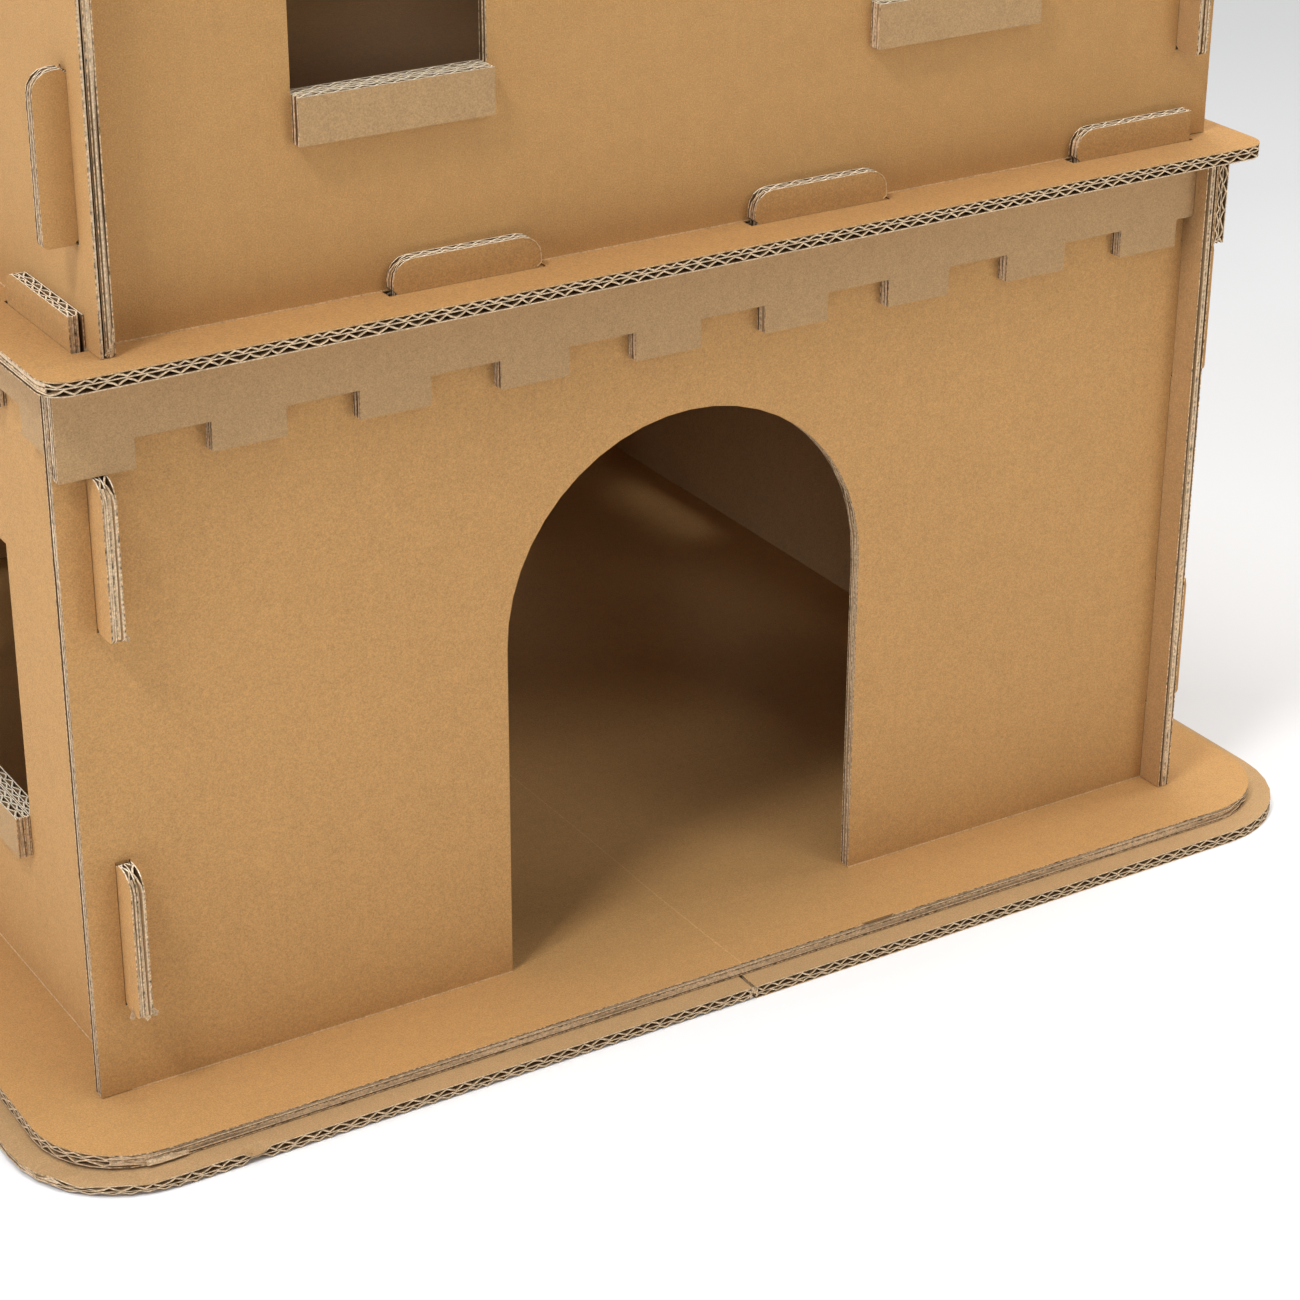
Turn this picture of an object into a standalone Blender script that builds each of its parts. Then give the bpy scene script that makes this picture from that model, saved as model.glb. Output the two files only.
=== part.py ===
"""Two-storey castle of double-wall corrugated board, held together by tabs in slots.

Metres, +Z up. X runs along the front wall, the front faces -Y, and the origin is the middle of the
underside. Four walls make each storey, turned like a pinwheel: each has a free end, which runs past the
corner, and a butt end, whose tabs go through slots near the free end of the next wall.
"""

import math

import bmesh
import bpy
from mathutils import Matrix, Vector

# Board
BOARD = 0.0058
GAP = 0.0003
SHEET = BOARD + GAP

# Inside the board: three liners, and between them a row of small and a row of large flutes. Solid board is
# kept beside a sheet's side edges, and before the floor plate's slots, where its flutes end.
LINER = 0.0005
FLUTE_PAPER = 0.0005
SMALL_FLUTE_PITCH = 0.0064
LARGE_FLUTE_PITCH = 0.0079
SMALL_FLUTE_SHARE = 0.42
FLUTE_MARGIN = 0.0020
FLUTE_END_MARGIN = 0.0046

# Lower storey, measured inside
LOWER_HALF = 0.2500
LOWER_HEIGHT = 0.3000
OVERHANG = 0.0130

# Upper storey, which stands just inside the lower walls' top tabs
UPPER_HALF = LOWER_HALF - SHEET
UPPER_HEIGHT = 0.3000
MERLON_WIDTH = 0.0600
MERLON_PITCH = 0.1200
MERLON_RISE = 0.0400

# Tabs and their slots
TAB_HEAD = 0.0630
TAB_NECK = 0.0600
TAB_RADIUS = 0.0080
TAB_SMALL_RADIUS = 0.0020
TAB_PITCH = 0.1600
TAB_REACH = OVERHANG
TAB_CLEARANCE = 0.0009
TOP_TAB_INSET = 0.0290
FOOT_TAB_INSET = 0.0730
SLOT_PLAY = 0.0020
SLOT_SIDE = GAP

# Base and floor plates
BASE_MARGIN = 0.0439
BASE_STEP = 0.0105
BASE_UPPER_HALF = LOWER_HALF + SHEET + BASE_MARGIN
BASE_LOWER_HALF = BASE_UPPER_HALF + BASE_STEP
BASE_UPPER_CORNER = 0.0400
BASE_LOWER_CORNER = 0.0500
SEAM = 0.0008
CREASE_WIDTH = 0.0012
CREASE_DEPTH = 0.0004
PLATE_MARGIN = 0.0206
PLATE_CORNER = 0.0100

# Doorway and windows
DOOR_WIDTH = 0.1700
DOOR_SPRING = 0.1490
WINDOW_WIDTH = 0.0800
WINDOW_HEIGHT = 0.1200
WINDOW_SILL_LEVEL = 0.0800
WINDOW_PLACE = 0.1262
SILL_HEIGHT = 0.0180

# Corbel strips under the floor plate
CORBEL_HEIGHT = 0.0376
TOOTH_DEPTH = 0.0118
TOOTH_WIDTH = 0.0300
TOOTH_PITCH = 0.0600

# Facets of a quarter turn
DOOR_STEPS = 12
CORNER_STEPS = 8
TAB_STEPS = 4

SIDES = ("front", "right", "back", "left")

# Levels of the stack, from the floor up
BASE_UPPER_LEVEL = SHEET
LOWER_LEVEL = 2 * SHEET
FLOOR_LEVEL = LOWER_LEVEL + LOWER_HEIGHT
UPPER_LEVEL = FLOOR_LEVEL + SHEET
ROOF_LEVEL = UPPER_LEVEL + UPPER_HEIGHT


def clear_scene():
    for thing in list(bpy.data.objects):
        bpy.data.objects.remove(thing, do_unlink=True)


def board_material(name, colour):
    material = bpy.data.materials.new(name)
    material.use_nodes = True
    shader = material.node_tree.nodes["Principled BSDF"]
    shader.inputs["Base Color"].default_value = (*colour, 1.0)
    shader.inputs["Roughness"].default_value = 0.85
    shader.inputs["Metallic"].default_value = 0.0
    return material


def arc(centre, radius, start, end, steps):
    """Points from one angle to the other, in degrees, both ends included."""
    angles = (math.radians(start + (end - start) * i / steps) for i in range(steps + 1))
    return [(centre[0] + radius * math.cos(a), centre[1] + radius * math.sin(a)) for a in angles]


def rectangle(left, right, bottom, top):
    return [(left, bottom), (right, bottom), (right, top), (left, top)]


def rounded_square(half, radius):
    inner = half - radius
    corners = ((inner, -inner, -90), (inner, inner, 0), (-inner, inner, 90), (-inner, -inner, 180))
    points = []
    for x, y, start in corners:
        points += arc((x, y), radius, start, start + 90, CORNER_STEPS)
    return points


def eared_tab(radius):
    """Right half of a tab on an edge along X: its neck, an ear past the slot, and a round corner."""
    neck = TAB_NECK / 2
    head = TAB_HEAD / 2
    ear = SHEET + GAP
    corner = (head - radius, SHEET + TAB_REACH - radius)
    return [(neck, 0.0), (neck, ear), (head, ear + head - neck)] + arc(corner, radius, 0, 90, TAB_STEPS)


def placed(points, along, centre):
    """Points of an edge along X, moved onto another edge. Their order is the way the outline runs."""
    out = Vector((along.y, -along.x))
    return [tuple(centre + along * x + out * y) for x, y in points]


def tab_on(centre, along, first_radius=TAB_RADIUS):
    """A whole tab, its root's middle at the centre, with the outline running along the given direction."""
    first = [(-x, y) for x, y in eared_tab(first_radius)]
    second = eared_tab(TAB_RADIUS)[::-1]
    return placed(first + second, Vector(along), Vector(centre))


def top_edge(butt, height):
    """The lower walls' top: tabs for the floor plate's slots, the first cut square by the butt end."""
    head_top = height + SHEET + TAB_REACH
    first = butt - TOP_TAB_INSET
    rounded = [(first - x, height + y) for x, y in eared_tab(TAB_RADIUS)]
    points = [(butt, head_top)] + rounded[::-1]
    place = first - TAB_PITCH
    while place - TAB_HEAD / 2 > -butt:
        points += tab_on((place, height), (-1, 0))
        place -= TAB_PITCH
    return points


def battlement_edge(butt, height):
    """The upper walls' top: square merlons, which stand up through the roof plate's slots."""
    rise = height + SHEET + MERLON_RISE
    points = []
    place = butt
    while place - MERLON_WIDTH > -butt:
        left = place - MERLON_WIDTH
        points += [(place, height), (place, rise), (left, rise), (left, height)]
        place -= MERLON_PITCH
    return points[1:]


def wall_outline(butt, height, top, feet, doorway):
    """Outline of a wall with its butt end at +X, run round against the clock."""
    free = -(butt + SHEET + OVERHANG)
    shoulder = height - GAP
    points = [(free, 0.0)]
    if feet:
        points += tab_foot(FOOT_TAB_INSET - butt)
    if doorway:
        points += doorway_edge()
    if feet:
        points += tab_foot(butt - FOOT_TAB_INSET)
    points.append((butt, 0.0))
    for level in side_tab_levels(height):
        points += tab_on((butt, level), (0, 1), first_radius=TAB_SMALL_RADIUS)
    points += top(butt, shoulder)
    points.append((free, shoulder))
    return points


def side_tab_levels(height):
    """Middles of the side tabs. The upper one stays clear of the corbel's teeth, the lower mirrors it."""
    inset = CORBEL_HEIGHT + TAB_CLEARANCE + TAB_HEAD / 2
    return (inset, height - inset)


def tab_foot(place):
    """A square foot under the wall, one sheet deep, for a slot in the base."""
    left = place - TAB_NECK / 2
    right = place + TAB_NECK / 2
    return [(left, 0.0), (left, -BOARD), (right, -BOARD), (right, 0.0)]


def doorway_edge():
    half = DOOR_WIDTH / 2
    return [(-half, 0.0)] + arc((0.0, DOOR_SPRING), half, 180, 0, 2 * DOOR_STEPS) + [(half, 0.0)]


def side_slots(half, height):
    """Slots near the free end, for the tabs of the wall that butts there."""
    left = -(half + SHEET) - SLOT_SIDE
    right = -(half + GAP) + SLOT_SIDE
    reach = TAB_HEAD / 2 + GAP
    return [rectangle(left, right, level - reach, level + reach) for level in side_tab_levels(height)]


def windows():
    holes = []
    for place in (-WINDOW_PLACE, WINDOW_PLACE):
        left = place - WINDOW_WIDTH / 2
        right = place + WINDOW_WIDTH / 2
        holes.append(rectangle(left, right, WINDOW_SILL_LEVEL, WINDOW_SILL_LEVEL + WINDOW_HEIGHT))
    return holes


def board(name, collection, material, outline, holes=(), hand=1):
    """A flat piece: its outline and holes in the object's XY plane, the board's thickness along Z."""
    curve = bpy.data.curves.new(name, "CURVE")
    curve.dimensions = "2D"
    curve.fill_mode = "BOTH"
    curve.extrude = BOARD / 2
    for points in (outline, *holes):
        spline = curve.splines.new("POLY")
        spline.points.add(len(points) - 1)
        for target, (x, y) in zip(spline.points, points):
            target.co = (hand * x, y, 0.0, 1.0)
        spline.use_cyclic_u = True
    curve.materials.append(material)
    thing = bpy.data.objects.new(name, curve)
    collection.objects.link(thing)
    return thing


def lay_flat(thing, level):
    thing.location = (0.0, 0.0, level + BOARD / 2)


def stand_up(thing, side, inner_face, level, sheets_out=0):
    """Stands a piece on one side of the castle, a number of sheets out from that storey's wall."""
    depth = inner_face + GAP + BOARD / 2 + sheets_out * SHEET
    turn = Matrix.Rotation(math.radians(90 * side), 4, "Z")
    place = Matrix.Translation((0.0, -depth, level))
    thing.matrix_world = turn @ place @ Matrix.Rotation(math.radians(90), 4, "X")


def as_mesh(thing):
    """The curve's solid made a closed mesh, so that a Boolean can cut it or cut with it."""
    name = thing.name
    bpy.context.view_layer.update()
    graph = bpy.context.evaluated_depsgraph_get()
    mesh = bpy.data.meshes.new_from_object(thing.evaluated_get(graph))
    welded = bmesh.new()
    welded.from_mesh(mesh)
    bmesh.ops.remove_doubles(welded, verts=welded.verts, dist=0.00001)
    welded.to_mesh(mesh)
    welded.free()
    solid = bpy.data.objects.new(name + "_mesh", mesh)
    solid.matrix_world = thing.matrix_world
    thing.users_collection[0].objects.link(solid)
    bpy.data.objects.remove(thing, do_unlink=True)
    solid.name = name
    return solid


def flute_row(left, right, bottom, height, pitch):
    """End-on shapes of the channels above and below a row's folded paper, from left to right."""
    slope = math.atan2(height, pitch / 2)
    share = 1.0 - FLUTE_PAPER / (pitch * math.sin(slope))
    half = share * pitch / 2
    rise = share * height
    channels = []
    middle = left + pitch / 2
    while middle + half < right:
        channels.append([(middle - half, bottom), (middle + half, bottom), (middle, bottom + rise)])
        turned = middle + pitch / 2
        if turned + half < right:
            top = bottom + height
            channels.append([(turned - half, top), (turned, top - rise), (turned + half, top)])
        middle += pitch
    return channels


def flute_channels(left, right, golden):
    """End-on shapes of both rows of a flat sheet's flutes, seen from the front.

    The small flutes lie next to the golden liner, which is up or down: 1 or -1.
    """
    room = BOARD - 3 * LINER
    small = room * SMALL_FLUTE_SHARE
    large = room - small
    small_middle = golden * (BOARD / 2 - LINER - small / 2)
    large_middle = golden * (large / 2 + LINER - BOARD / 2)
    start = left + FLUTE_MARGIN
    end = right - FLUTE_MARGIN
    channels = flute_row(start, end, small_middle - small / 2, small, SMALL_FLUTE_PITCH)
    return channels + flute_row(start, end, large_middle - large / 2, large, LARGE_FLUTE_PITCH)


def cut(sheet, tool_name, shapes, half_length, place, cutters):
    """Cuts bars out of a sheet. Their shapes are given end on, their length lies along the place's Z."""
    bars = board(tool_name, cutters, sheet.data.materials[0], shapes[0], shapes[1:])
    bars.data.extrude = half_length
    bars.matrix_world = place
    bars = as_mesh(bars)
    bars.hide_render = True
    bars.display_type = "WIRE"
    modifier = sheet.modifiers.new(tool_name, "BOOLEAN")
    modifier.operation = "DIFFERENCE"
    modifier.solver = "EXACT"
    modifier.object = bars


def cut_along_y(sheet, tool_name, shapes, front, back, cutters):
    """The same for bars seen from the front, which run from one place along Y to another."""
    middle = Matrix.Translation((0.0, (front + back) / 2, sheet.location.z))
    place = middle @ Matrix.Rotation(math.radians(90), 4, "X")
    cut(sheet, tool_name, shapes, (back - front) / 2, place, cutters)


def cut_slots(sheet, slots, cutters):
    cut(sheet, sheet.name + "_slots", slots, BOARD, sheet.matrix_world, cutters)


def base_half(name, side, collection, material, cutters):
    """Half of the base's lower layer, butted against the other half at the middle."""
    inner = BASE_LOWER_HALF - BASE_LOWER_CORNER
    points = [(SEAM / 2, -BASE_LOWER_HALF)]
    points += arc((inner, -inner), BASE_LOWER_CORNER, -90, 0, CORNER_STEPS)
    points += arc((inner, inner), BASE_LOWER_CORNER, 0, 90, CORNER_STEPS)
    points.append((SEAM / 2, BASE_LOWER_HALF))
    sheet = board(name, collection, material, points, hand=side)
    lay_flat(sheet, 0.0)
    sheet = as_mesh(sheet)
    left, right = sorted((side * SEAM / 2, side * BASE_LOWER_HALF))
    reach = BASE_LOWER_HALF + BOARD
    cut_along_y(sheet, name + "_flutes", flute_channels(left, right, -1), -reach, reach, cutters)


def plate_slot(side, near, far, inner_face):
    """A slot in a flat plate, for a tab of a wall on one side, from near to far along that wall."""
    bottom = inner_face + GAP - SLOT_SIDE
    top = inner_face + SHEET + SLOT_SIDE
    turn = Matrix.Rotation(math.radians(90 * side), 2)
    corners = rectangle(near - SLOT_PLAY, far + SLOT_PLAY, -top, -bottom)
    return [tuple(turn @ Vector(corner)) for corner in corners]


def base_slots():
    reach = TAB_NECK / 2
    slots = []
    for side in range(4):
        for place in (FOOT_TAB_INSET - LOWER_HALF, LOWER_HALF - FOOT_TAB_INSET):
            slots.append(plate_slot(side, place - reach, place + reach, LOWER_HALF))
    return slots


def floor_slots():
    slots = []
    for side in range(4):
        place = LOWER_HALF - TOP_TAB_INSET
        while place - TAB_HEAD / 2 > -LOWER_HALF:
            far = min(place + TAB_HEAD / 2, LOWER_HALF)
            slots.append(plate_slot(side, place - TAB_HEAD / 2, far, LOWER_HALF))
            place -= TAB_PITCH
    return slots


def roof_slots():
    slots = []
    for side in range(4):
        place = UPPER_HALF
        while place - MERLON_WIDTH > -UPPER_HALF:
            slots.append(plate_slot(side, -place, MERLON_WIDTH - place, UPPER_HALF))
            place -= MERLON_PITCH
    return slots


def corbel_outline():
    """A crenellated strip as long as its wall, teeth down, the first tooth at the free end."""
    left = -(LOWER_HALF + SHEET + OVERHANG)
    right = LOWER_HALF
    top = LOWER_HEIGHT - GAP
    tip = top - CORBEL_HEIGHT
    root = tip + TOOTH_DEPTH
    points = []
    place = left
    while place + TOOTH_WIDTH < right:
        points += [(place, root), (place, tip), (place + TOOTH_WIDTH, tip), (place + TOOTH_WIDTH, root)]
        place += TOOTH_PITCH
    return points[1:] + [(right, root), (right, top), (left, top)]


def sill_outline(place):
    left = place - WINDOW_WIDTH / 2
    right = place + WINDOW_WIDTH / 2
    return rectangle(left, right, WINDOW_SILL_LEVEL - SILL_HEIGHT, WINDOW_SILL_LEVEL)


def crease_shape():
    """A pressed line, seen end on: its point lies in the sheet, and its two other corners above it."""
    surface = BOARD / 2
    above = surface + CREASE_DEPTH
    return [(-CREASE_WIDTH, above), (0.0, surface - CREASE_DEPTH), (CREASE_WIDTH, above)]


def make_base(collection, material, cutters):
    """Two sheets under one. The upper sheet has a crease at the middle and slots for the walls' feet."""
    base_half("base_lower_left", -1, collection, material, cutters)
    base_half("base_lower_right", 1, collection, material, cutters)
    outline = rounded_square(BASE_UPPER_HALF, BASE_UPPER_CORNER)
    sheet = board("base_upper", collection, material, outline)
    lay_flat(sheet, BASE_UPPER_LEVEL)
    sheet = as_mesh(sheet)
    cut_along_y(sheet, "base_upper_crease", [crease_shape()], -BASE_LOWER_HALF, BASE_LOWER_HALF, cutters)
    cut_slots(sheet, base_slots(), cutters)


def make_lower_storey(collection, outer, inner):
    """Front wall with the doorway, three walls with windows, and a corbel strip on each."""
    for side, word in enumerate(SIDES):
        doorway = word == "front"
        outline = wall_outline(LOWER_HALF, LOWER_HEIGHT, top_edge, True, doorway)
        holes = side_slots(LOWER_HALF, LOWER_HEIGHT)
        if not doorway:
            holes += windows()
            make_sills("lower", word, side, LOWER_HALF, LOWER_LEVEL, collection, inner)
        wall = board("lower_wall_" + word, collection, outer, outline, holes)
        stand_up(wall, side, LOWER_HALF, LOWER_LEVEL)
        corbel = board("corbel_" + word, collection, inner, corbel_outline())
        stand_up(corbel, side, LOWER_HALF, LOWER_LEVEL, sheets_out=1)


def make_upper_storey(collection, outer, inner):
    """Four like walls, handed the other way from the lower ones, each with two windows."""
    for side, word in enumerate(SIDES):
        outline = wall_outline(UPPER_HALF, UPPER_HEIGHT, battlement_edge, False, False)
        holes = side_slots(UPPER_HALF, UPPER_HEIGHT) + windows()
        wall = board("upper_wall_" + word, collection, outer, outline, holes, hand=-1)
        stand_up(wall, side, UPPER_HALF, UPPER_LEVEL)
        make_sills("upper", word, side, UPPER_HALF, UPPER_LEVEL, collection, inner)


def make_sills(storey, word, side, half, level, collection, material):
    for number, place in enumerate((-WINDOW_PLACE, WINDOW_PLACE), start=1):
        name = f"sill_{storey}_{word}_{number}"
        sill = board(name, collection, material, sill_outline(place))
        stand_up(sill, side, half, level, sheets_out=1)


def make_plates(collection, material, cutters):
    """The floor between the storeys and the roof, which the walls' tabs and merlons go through."""
    half = LOWER_HALF + SHEET + PLATE_MARGIN
    outline = rounded_square(half, PLATE_CORNER)
    floor = board("floor_plate", collection, material, outline)
    lay_flat(floor, FLOOR_LEVEL)
    floor = as_mesh(floor)
    channels = flute_channels(-half, half, 1)
    end = PLATE_MARGIN - FLUTE_END_MARGIN - half
    cut_along_y(floor, "floor_plate_flutes", channels, -half - BOARD, end, cutters)
    cut_slots(floor, floor_slots(), cutters)
    lay_flat(board("roof_plate", collection, material, outline, roof_slots()), ROOF_LEVEL)


def main():
    clear_scene()
    castle = bpy.data.collections.new("cardboard_castle")
    bpy.context.scene.collection.children.link(castle)
    cutters = bpy.data.collections.new("cutters")
    bpy.context.scene.collection.children.link(cutters)
    outer = board_material("golden_kraft_liner", (0.51, 0.31, 0.14))
    inner = board_material("grey_kraft_liner", (0.45, 0.30, 0.17))
    make_base(castle, outer, cutters)
    make_lower_storey(castle, outer, inner)
    make_plates(castle, outer, cutters)
    make_upper_storey(castle, outer, inner)


main()
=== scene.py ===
import math
import random

import bpy
from mathutils import Matrix, Vector, noise as ripple


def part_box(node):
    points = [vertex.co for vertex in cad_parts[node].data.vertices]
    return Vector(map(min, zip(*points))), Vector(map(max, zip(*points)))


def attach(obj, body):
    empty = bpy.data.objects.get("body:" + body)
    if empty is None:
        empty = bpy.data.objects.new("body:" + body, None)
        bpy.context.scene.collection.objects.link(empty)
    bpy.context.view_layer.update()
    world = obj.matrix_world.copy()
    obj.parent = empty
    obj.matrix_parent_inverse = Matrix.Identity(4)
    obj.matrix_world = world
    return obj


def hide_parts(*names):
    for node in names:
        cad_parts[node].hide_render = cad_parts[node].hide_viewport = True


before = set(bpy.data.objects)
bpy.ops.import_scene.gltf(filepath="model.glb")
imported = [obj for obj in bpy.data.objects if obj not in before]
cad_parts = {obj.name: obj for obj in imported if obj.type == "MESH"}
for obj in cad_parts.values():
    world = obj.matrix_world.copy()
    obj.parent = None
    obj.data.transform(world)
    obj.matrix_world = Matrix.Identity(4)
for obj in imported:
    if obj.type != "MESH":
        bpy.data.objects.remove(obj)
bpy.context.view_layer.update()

# Base, lower layer
# Two sheets of double-wall corrugated board, butted at the middle under the upper sheet and glued to it.
# Brown kraft paper, five layers: a golden liner, small flutes, a plain liner, large flutes, a greyer liner.
# The sheets are die-cut with the flutes running front to back and the golden liner down.

UP = Vector((0.0, 0.0, 1.0))
RIGHT = Vector((1.0, 0.0, 0.0))
BACK = Vector((0.0, 1.0, 0.0))
SMALL_FLUTE_PITCH = 0.0064
PAPER_ROUGHNESS = 0.86
PAPER_SHEEN = 0.42
CLOUD_SCALE = 8.0
CLOUD_TONE = 0.13
MOTTLE_SCALE = 150.0
MOTTLE_TONE = 0.14
FIBRE_SCALE = 650.0
FIBRE_TONE = 0.16
GRAIN_SCALE = 1700.0
GRAIN_TONE = 0.80
RIB_TONE = 0.006
RIB_HEIGHT = 0.012
SPECK_SCALE = 150.0
SPECK_SIZE = 0.06
SPECK_TONE = 0.10
BEAD_SCALE = 780.0
BUMP_STRENGTH = 0.5
BUMP_HEIGHT = 0.0003
COARSE_DETAIL = 3.0
FINE_DETAIL = 1.0


def paper(name, colour, flutes=None, beads=0.0):
    """Kraft paper: cloudy tone, grain, specks, faint ribs over the flutes, and beads where a blade cut it."""
    material = bpy.data.materials.new(name)
    material.use_nodes = True
    nodes = material.node_tree.nodes
    link = material.node_tree.links.new
    shader = nodes["Principled BSDF"]
    shader.inputs["Roughness"].default_value = PAPER_ROUGHNESS
    shader.inputs["Specular IOR Level"].default_value = PAPER_SHEEN
    place = nodes.new("ShaderNodeTexCoord").outputs["Object"]

    def noise(scale, detail):
        texture = nodes.new("ShaderNodeTexNoise")
        texture.inputs["Scale"].default_value = scale
        texture.inputs["Detail"].default_value = detail
        link(place, texture.inputs["Vector"])
        return texture.outputs["Fac"]

    def math_node(kind, first, second):
        node = nodes.new("ShaderNodeMath")
        node.operation = kind
        for socket, value in zip(node.inputs, (first, second)):
            if isinstance(value, float):
                socket.default_value = value
            else:
                link(value, socket)
        return node.outputs["Value"]

    def centred(value, strength):
        return math_node("MULTIPLY", math_node("SUBTRACT", value, 0.5), strength)

    clouds = centred(noise(CLOUD_SCALE, COARSE_DETAIL), CLOUD_TONE)
    mottle = centred(noise(MOTTLE_SCALE, COARSE_DETAIL), MOTTLE_TONE)
    fibres = centred(noise(FIBRE_SCALE, FINE_DETAIL), FIBRE_TONE)
    grain = math_node("ADD", fibres, centred(noise(GRAIN_SCALE, FINE_DETAIL), GRAIN_TONE))
    tone = math_node("ADD", math_node("ADD", clouds, mottle), grain)
    height = math_node("ADD", mottle, grain)
    if flutes:
        across = nodes.new("ShaderNodeVectorMath")
        across.operation = "DOT_PRODUCT"
        link(place, across.inputs[0])
        across.inputs[1].default_value = flutes
        turns = math_node("MULTIPLY", across.outputs["Value"], 2 * math.pi / SMALL_FLUTE_PITCH)
        rib = math_node("SINE", turns, 0.0)
        tone = math_node("ADD", tone, math_node("MULTIPLY", rib, RIB_TONE))
        height = math_node("ADD", height, math_node("MULTIPLY", rib, RIB_HEIGHT))
    specks = nodes.new("ShaderNodeTexVoronoi")
    specks.inputs["Scale"].default_value = SPECK_SCALE
    link(place, specks.inputs["Vector"])
    speck = math_node("LESS_THAN", specks.outputs["Distance"], SPECK_SIZE)
    tone = math_node("ADD", tone, math_node("MULTIPLY", speck, SPECK_TONE))
    if beads:
        cells = nodes.new("ShaderNodeTexVoronoi")
        cells.inputs["Scale"].default_value = BEAD_SCALE
        link(place, cells.inputs["Vector"])
        tone = math_node("SUBTRACT", tone, centred(cells.outputs["Distance"], beads))
    level = math_node("ADD", tone, 1.0)
    shade = nodes.new("ShaderNodeVectorMath")
    shade.operation = "SCALE"
    shade.inputs[0].default_value = colour
    link(level, shade.inputs["Scale"])
    link(shade.outputs["Vector"], shader.inputs["Base Color"])
    bump = nodes.new("ShaderNodeBump")
    bump.inputs["Strength"].default_value = BUMP_STRENGTH
    bump.inputs["Distance"].default_value = BUMP_HEIGHT
    link(height, bump.inputs["Height"])
    link(bump.outputs["Normal"], shader.inputs["Normal"])
    return material


GOLDEN = (0.485, 0.265, 0.092)
GREYISH = (0.430, 0.265, 0.120)


def liners(direction, grey=GREYISH, word="greyish"):
    """The board's two faces, golden and greyish, with ribs across the given direction."""
    name = "_liner_" + "".join("xyz"[axis] for axis in range(3) if direction[axis])
    return (paper("golden" + name, GOLDEN, direction), paper(word + name, grey, direction))


def only(thing):
    """Selects this piece alone and makes it the active one."""
    bpy.ops.object.select_all(action="DESELECT")
    thing.select_set(True)
    bpy.context.view_layer.objects.active = thing


SAME_LEVEL = 0.00001


def layer(node, golden, start, thickness):
    """One flat layer of a board, some way in from its golden face: its grey face's outline, extruded."""
    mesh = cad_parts[node].data.copy()
    mesh.materials.clear()
    thing = bpy.data.objects.new(node + "_layer", mesh)
    bpy.context.scene.collection.objects.link(thing)
    only(thing)
    heights = [golden.dot(v.co) for v in mesh.vertices]
    grey_side = min(heights)
    bpy.ops.object.mode_set(mode="EDIT")
    bpy.ops.mesh.select_all(action="SELECT")
    bpy.ops.mesh.remove_doubles(threshold=SAME_LEVEL)
    bpy.ops.mesh.select_all(action="DESELECT")
    bpy.ops.object.mode_set(mode="OBJECT")
    for face in mesh.polygons:
        face.select = any(golden.dot(mesh.vertices[i].co) - grey_side > SAME_LEVEL for i in face.vertices)
    bpy.ops.object.mode_set(mode="EDIT")
    bpy.ops.mesh.select_mode(type="FACE")
    bpy.ops.mesh.delete(type="FACE")
    bpy.ops.mesh.select_all(action="SELECT")
    bpy.ops.transform.translate(value=golden * (max(heights) - grey_side - start))
    bpy.ops.mesh.extrude_region_move(TRANSFORM_OT_translate={"value": -golden * thickness})
    bpy.ops.mesh.select_all(action="SELECT")
    bpy.ops.mesh.normals_make_consistent(inside=False)
    bpy.ops.object.mode_set(mode="OBJECT")
    return thing


FLUTING_THICKNESS = 0.00066
GLUE_BITE = 0.00006
FLUTE_LEAN = 0.08
CREST_FORM = (0.0, 0.53, 1.0, 0.53, 0.0, -0.53, -1.0, -0.53)


def fluting(node, golden, along, depth, row, pitch, chance, crush=1.0):
    """A wavy sheet of fluting, laid in the middle of its row and cut to the board's outline."""
    low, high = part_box(node)
    middle = (low + high) / 2
    across = along.cross(golden)
    width = abs(across.dot(high - low)) + 2 * pitch
    length = abs(along.dot(high - low)) + 2 * pitch
    steps = len(CREST_FORM)
    half = steps // 2
    columns = math.ceil(width / pitch) * steps
    bpy.ops.object.select_all(action="DESELECT")
    bpy.ops.mesh.primitive_grid_add(x_subdivisions=columns, y_subdivisions=1, size=1.0)
    wave = bpy.context.object
    wave.name = node + "_fluting"
    height = (row - FLUTING_THICKNESS) / 2 + GLUE_BITE
    phase = chance.random() * pitch
    lean = FLUTE_LEAN * crush
    leans = [[chance.gauss(0.0, lean) * pitch for _ in range(columns // half + 2)] for _ in range(2)]
    face = max(golden.dot(high), golden.dot(low))
    spot = middle - golden * golden.dot(middle)
    for vertex in wave.data.vertices:
        column = round((vertex.co.x + 0.5) * columns)
        end = leans[vertex.co.y > 0]
        share = column % half / half
        leaning = end[column // half] * (1 - share) + end[column // half + 1] * share
        sideways = (column / steps) * pitch - width / 2 + leaning - phase
        level = face - depth - row / 2 + height * CREST_FORM[column % steps]
        vertex.co = spot + across * sideways + along * vertex.co.y * length + golden * level
    solid = wave.modifiers.new("paper", "SOLIDIFY")
    solid.thickness = FLUTING_THICKNESS * crush
    solid.offset = 0.0
    only(wave)
    bpy.ops.object.modifier_apply(modifier="paper")
    outline = layer(node, golden, 0.0, abs(golden.dot(high - low)))
    trim = wave.modifiers.new("die_cut", "BOOLEAN")
    trim.operation = "INTERSECT"
    trim.solver = "MANIFOLD"
    trim.object = outline
    only(wave)
    bpy.ops.object.modifier_apply(modifier="die_cut")
    bpy.data.objects.remove(outline)
    return wave


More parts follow.
